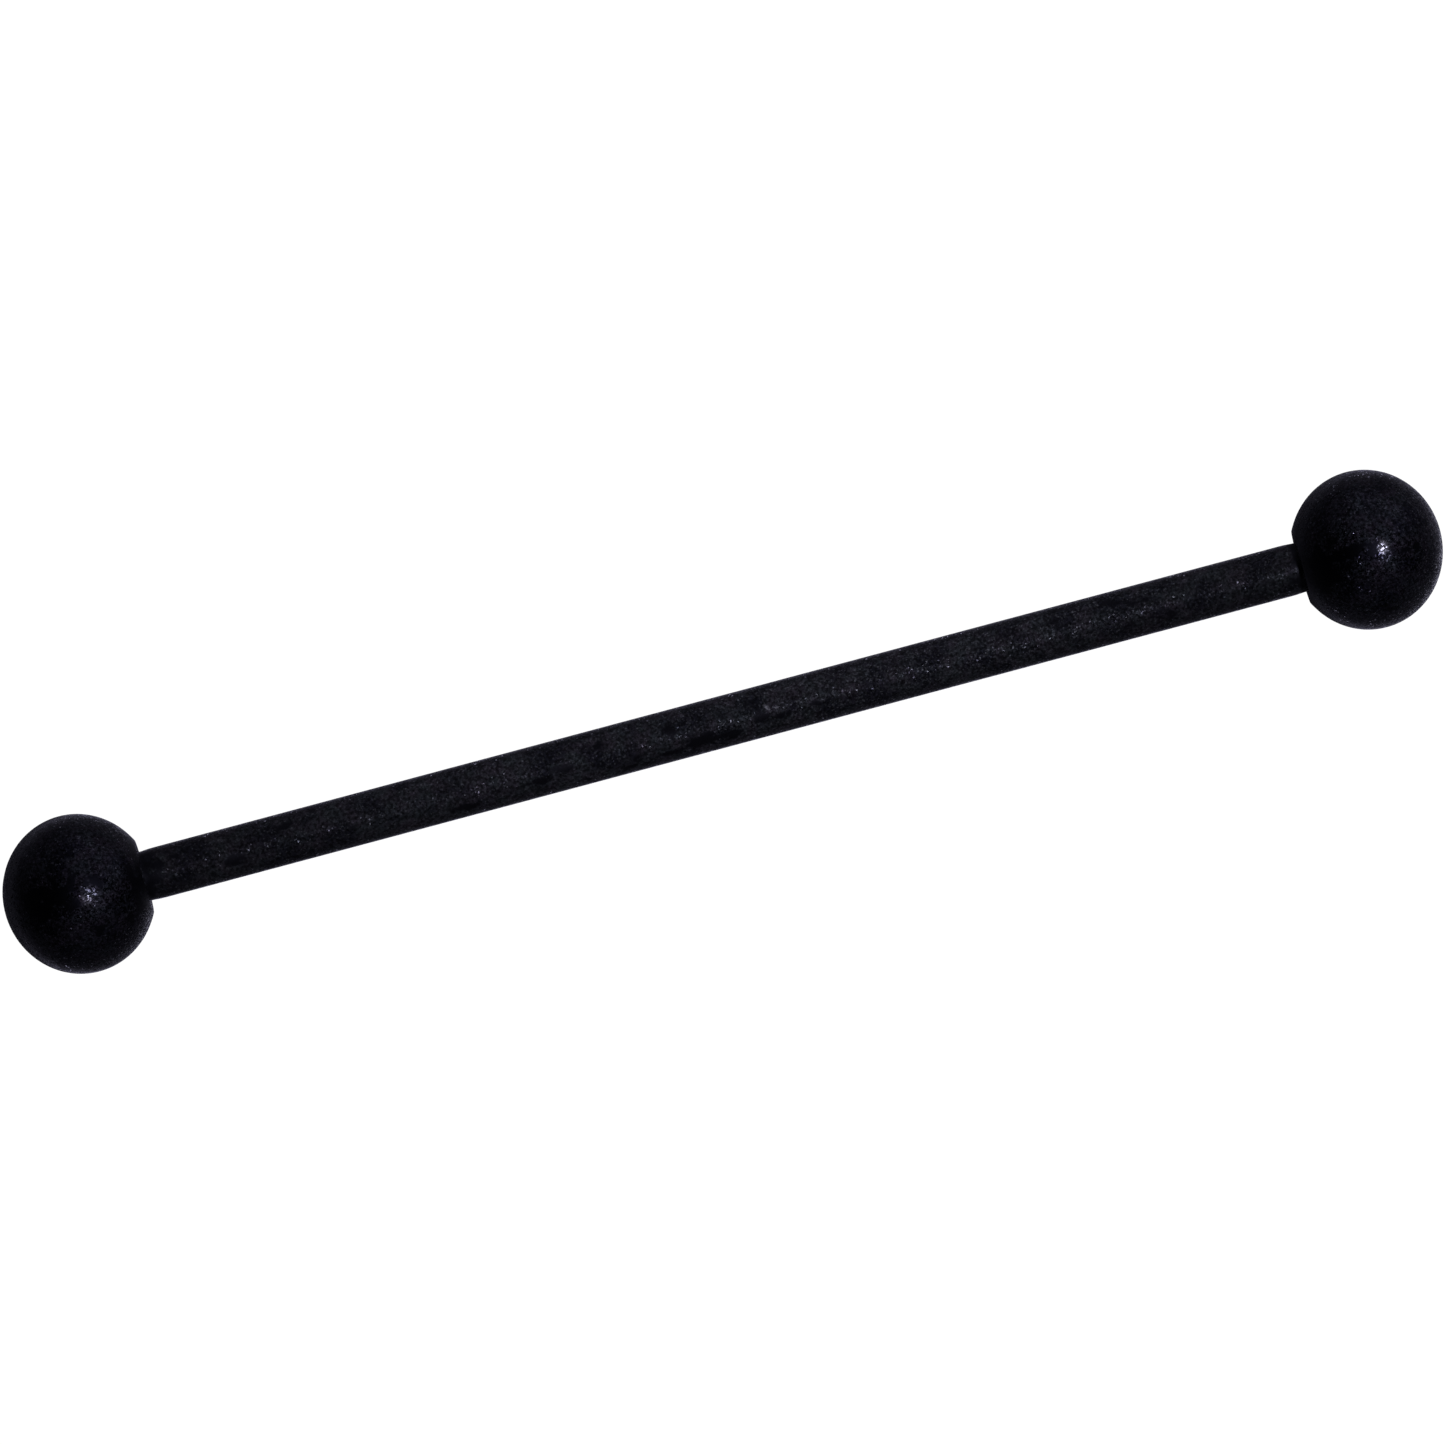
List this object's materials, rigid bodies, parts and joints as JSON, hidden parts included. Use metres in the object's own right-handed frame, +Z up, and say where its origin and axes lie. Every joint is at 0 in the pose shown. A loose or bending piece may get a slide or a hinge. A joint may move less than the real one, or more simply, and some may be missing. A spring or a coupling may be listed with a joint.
{
  "type": "straight barbell",
  "caption": "Straight body-jewellery barbell: a slim matt black steel bar with a screw-on ball at each threaded end.",
  "frame": {"origin": "middle of the bar, on its axis, which is the centre of the whole object", "axes": "+X along the bar towards the right ball, +Z up with the object lying on its balls, so the ground is at z = -2.56 mm"},
  "size_m": [0.0472, 0.0052, 0.0052],
  "materials": {
    "black_coated_steel": "matt black coating over blasted surgical steel: fine sparkling grain, small smooth worn patches and pits"
  },
  "bodies": {
    "bar": {"bar": "black_coated_steel"},
    "left_ball": {"left_ball": "black_coated_steel"},
    "right_ball": {"right_ball": "black_coated_steel"}
  },
  "joints": [
    {"name": "left_ball_unscrew", "type": "slide", "parent": "bar", "child": "left_ball", "axis": [-1, 0, 0], "range_m": [0, 0.012]},
    {"name": "right_ball_unscrew", "type": "slide", "parent": "bar", "child": "right_ball", "axis": [1, 0, 0], "range_m": [0, 0.012]}
  ]
}
